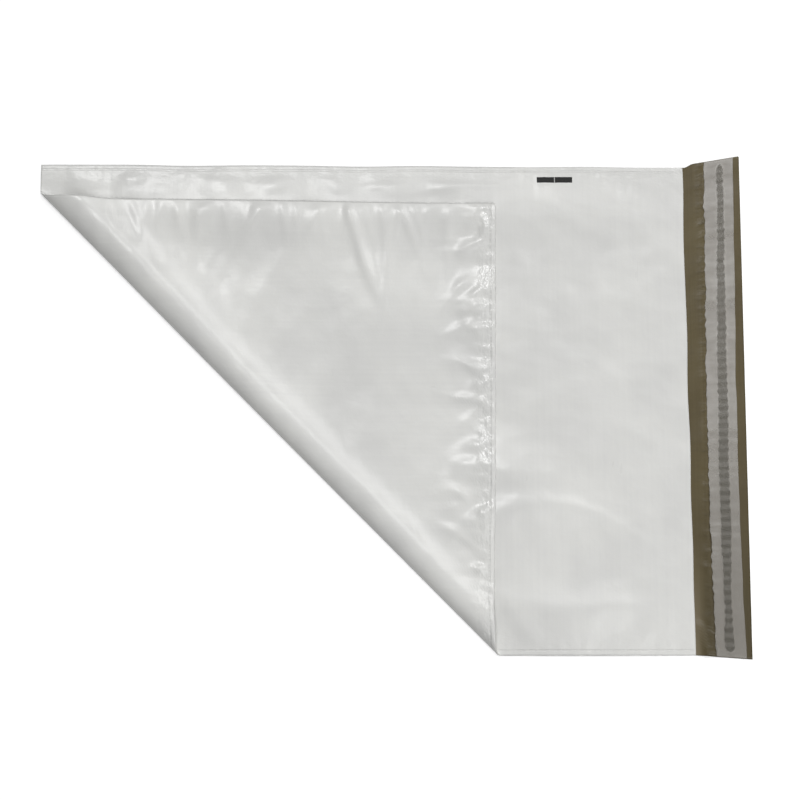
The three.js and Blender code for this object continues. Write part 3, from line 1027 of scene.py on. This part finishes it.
def linerFinish():
    # its own map is not the usual one: the distance from the adhesive, and the place along it
    finish = newFinish("releaseFilm")
    place = finish.sheetPlace()
    fromSeal, across = finish.split(place, 0), finish.split(place, 1)
    lines = finish.noise(place, (40, 150), 4)
    cloud = finish.noise(place, (45, 30))
    edge = finish.noise(place, (30, 260), 4)
    wet = 1 - finish.ramp(fromSeal + (edge - 0.5) * 0.0020, -0.0007, 0.0005)
    waver = finish.noise(place, (60, 45), 2)
    bars = finish.maths("COSINE", beadPhase(across) + waver * 2.5)
    low = 1 - finish.ramp(across, 0.02, 0.24)
    bands = finish.ramp(bars * (0.16 + 0.24 * low) + finish.noise(place, (60, 170)), 0.1, 0.9)
    wet = wet * (0.60 + 0.40 * bands)
    dryTone = finish.ramp(cloud * 0.5 + lines * 0.5, 0.35, 0.65)
    dry = finish.mix(dryTone, liner["colour"], liner["shade"])
    # painted shade: the liner and the adhesive under it darker towards the lower end
    dry = finish.mix(low * (0.85 + 0.15 * lines), dry, liner["lowShadeColour"])
    wetTone = finish.mix(low, liner["wetColour"], liner["wetLowShadeColour"])
    relief = lines * liner["lines"] + cloud * liner["clouds"]
    return finish.surface({
        "Base Color": finish.mix(wet, dry, wetTone),
        "Alpha": liner["clear"] + (liner["wetClear"] - liner["clear"]) * wet,
        "Roughness": liner["roughness"] + (cloud - 0.5) * liner["cloudRoughness"],
        "Normal": finish.bump(relief, liner["reliefStrength"]),
        "Specular IOR Level": liner["gloss"],
    })


# Camera, floor and light

view = {
    "distance": 1.9,
    "tilt": 11.15,  # degrees off straight down
    "turn": -0.07,
    "target": (0.0072, 0.0027, 0.0),
    "lens": 115.9,
    "sensor": 36.0,
    "clip": (0.05, 50),
}


def makeCamera():
    tilt, turn = math.radians(view["tilt"]), math.radians(view["turn"])
    back = np.array([0, -math.sin(tilt), math.cos(tilt)])
    up = np.array([0, math.cos(tilt), math.sin(tilt)])
    right = np.cross(up, back)
    right, up = (
        math.cos(turn) * right + math.sin(turn) * up,
        math.cos(turn) * up - math.sin(turn) * right,
    )
    data = bpy.data.cameras.new("camera")
    data.lens, data.sensor_width = view["lens"], view["sensor"]
    data.clip_start, data.clip_end = view["clip"]
    camera = bpy.data.objects.new("camera", data)
    place = np.eye(4)
    place[:3, :3] = np.stack([right, up, back], 1)
    place[:3, 3] = np.array(view["target"]) + back * view["distance"]
    camera.matrix_world = Matrix(place.tolist())
    bpy.context.scene.collection.objects.link(camera)
    bpy.context.scene.camera = camera


stage = {
    "floorSize": 8.0,
    "floorDrop": 0.0003,
    "floorColour": 0.66,
    "floorGlow": 0.48,  # is seen but lights nothing, so that the floor comes out white
    "worldGlow": 0.10,  # the world's strength as a light, while it is seen as white
}


def isSeen(finish):
    # 1 for rays from the camera and for those that gloss or clear film sends on, otherwise 0
    direct, glossy, through = (
        finish.node("LightPath", out=f"Is {kind} Ray") for kind in ("Camera", "Glossy", "Transmission")
    )
    return finish.maths("MAXIMUM", direct, finish.maths("MAXIMUM", glossy, through))


def makeFloor():
    half, z = stage["floorSize"] / 2, -stage["floorDrop"]
    corners = [(-half, -half, z), (half, -half, z), (half, half, z), (-half, half, z)]
    mesh = bpy.data.meshes.new("floor")
    mesh.from_pydata(corners, [], [(0, 1, 2, 3)])
    floor = bpy.data.objects.new("floor", mesh)
    bpy.context.scene.collection.objects.link(floor)
    finish = newFinish("paleFloor")
    grey = stage["floorColour"]
    diffuse = finish.node("BsdfDiffuse", {}, {"Color": (grey, grey, grey, 1)})
    glow = finish.node("Emission", {}, {"Strength": isSeen(finish) * stage["floorGlow"]})
    both = finish.node("AddShader", {}, {0: diffuse, 1: glow})
    finish.node("OutputMaterial", {}, {"Surface": both})
    mesh.materials.append(finish.owner)


def makeWorld():
    world = bpy.data.worlds.new("studio")
    bpy.context.scene.world = world
    finish = Finish(world)
    level = stage["worldGlow"] + (1 - stage["worldGlow"]) * isSeen(finish)
    background = finish.node("Background", {}, {"Color": (1, 1, 1, 1), "Strength": level})
    finish.node("OutputWorld", {}, {"Surface": background})


lamps = {
    "keyLamp": {"place": (1.95, 2.85, 3.75), "size": 2.25, "watts": 94},
    "topLamp": {"place": (-0.75, 2.03, 3.9), "size": 0.9, "watts": 61},
    "fillLamp": {"place": (0.9, -1.0, 1.6), "size": 1.4, "watts": 21},
}


def makeLamps():
    # square lamps that face the middle of the bag
    for name, settings in lamps.items():
        data = bpy.data.lights.new(name, "AREA")
        data.shape, data.size, data.energy = "SQUARE", settings["size"], settings["watts"]
        lamp = bpy.data.objects.new(name, data)
        aim = np.array(settings["place"]) / np.linalg.norm(settings["place"])
        side = np.cross([0, 1, 0], aim)
        side = side / np.linalg.norm(side)
        turn = np.eye(4)
        turn[:3, :3] = np.stack([side, np.cross(aim, side), aim], 1)
        turn[:3, 3] = settings["place"]
        lamp.matrix_world = Matrix(turn.tolist())
        lamp.visible_camera = False
        bpy.context.scene.collection.objects.link(lamp)


makeCamera()
makeFloor()
makeWorld()
makeLamps()
print("stage, camera and lamps")
filmFinishes = [filmOutside(), filmInside()]
makeFront()
makeBack()
makeAdhesive()
makeLiner()
print("bag, adhesive and liner")

bpy.context.scene.view_settings.view_transform = "Standard"
bpy.context.view_layer.update()
